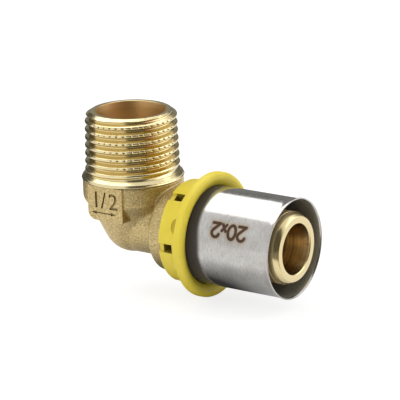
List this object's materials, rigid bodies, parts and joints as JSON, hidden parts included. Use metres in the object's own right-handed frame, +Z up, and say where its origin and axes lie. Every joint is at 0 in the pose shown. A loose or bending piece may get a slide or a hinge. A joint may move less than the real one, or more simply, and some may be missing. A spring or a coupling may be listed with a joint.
{
  "type": "male threaded elbow",
  "caption": "Brass press elbow: right-angle pipe fitting with a male taper thread on one end and a press nipple with steel sleeve and plastic ring on the other.",
  "frame": {"origin": "centre of the collar's top face on the thread axis, where the threaded tail starts", "axes": "+Z up along the thread axis towards the threaded end, +X along the pipe axis towards the press end, -Y towards the wrench flat that faces the viewer"},
  "size_m": [0.0542, 0.0278, 0.0396],
  "materials": {
    "brass": "forged and shot-blasted, machined bright on thread, collar band and nipple",
    "sleeve_steel": "satin, drawn stainless",
    "ring_plastic": "moulded, soft sheen",
    "seal_rubber": "matt black"
  },
  "bodies": {
    "root": {"elbow_body": "brass", "press_sleeve": "sleeve_steel", "retaining_ring": "ring_plastic", "front_o_ring": "seal_rubber", "rear_o_ring": "seal_rubber"}
  },
  "joints": []
}
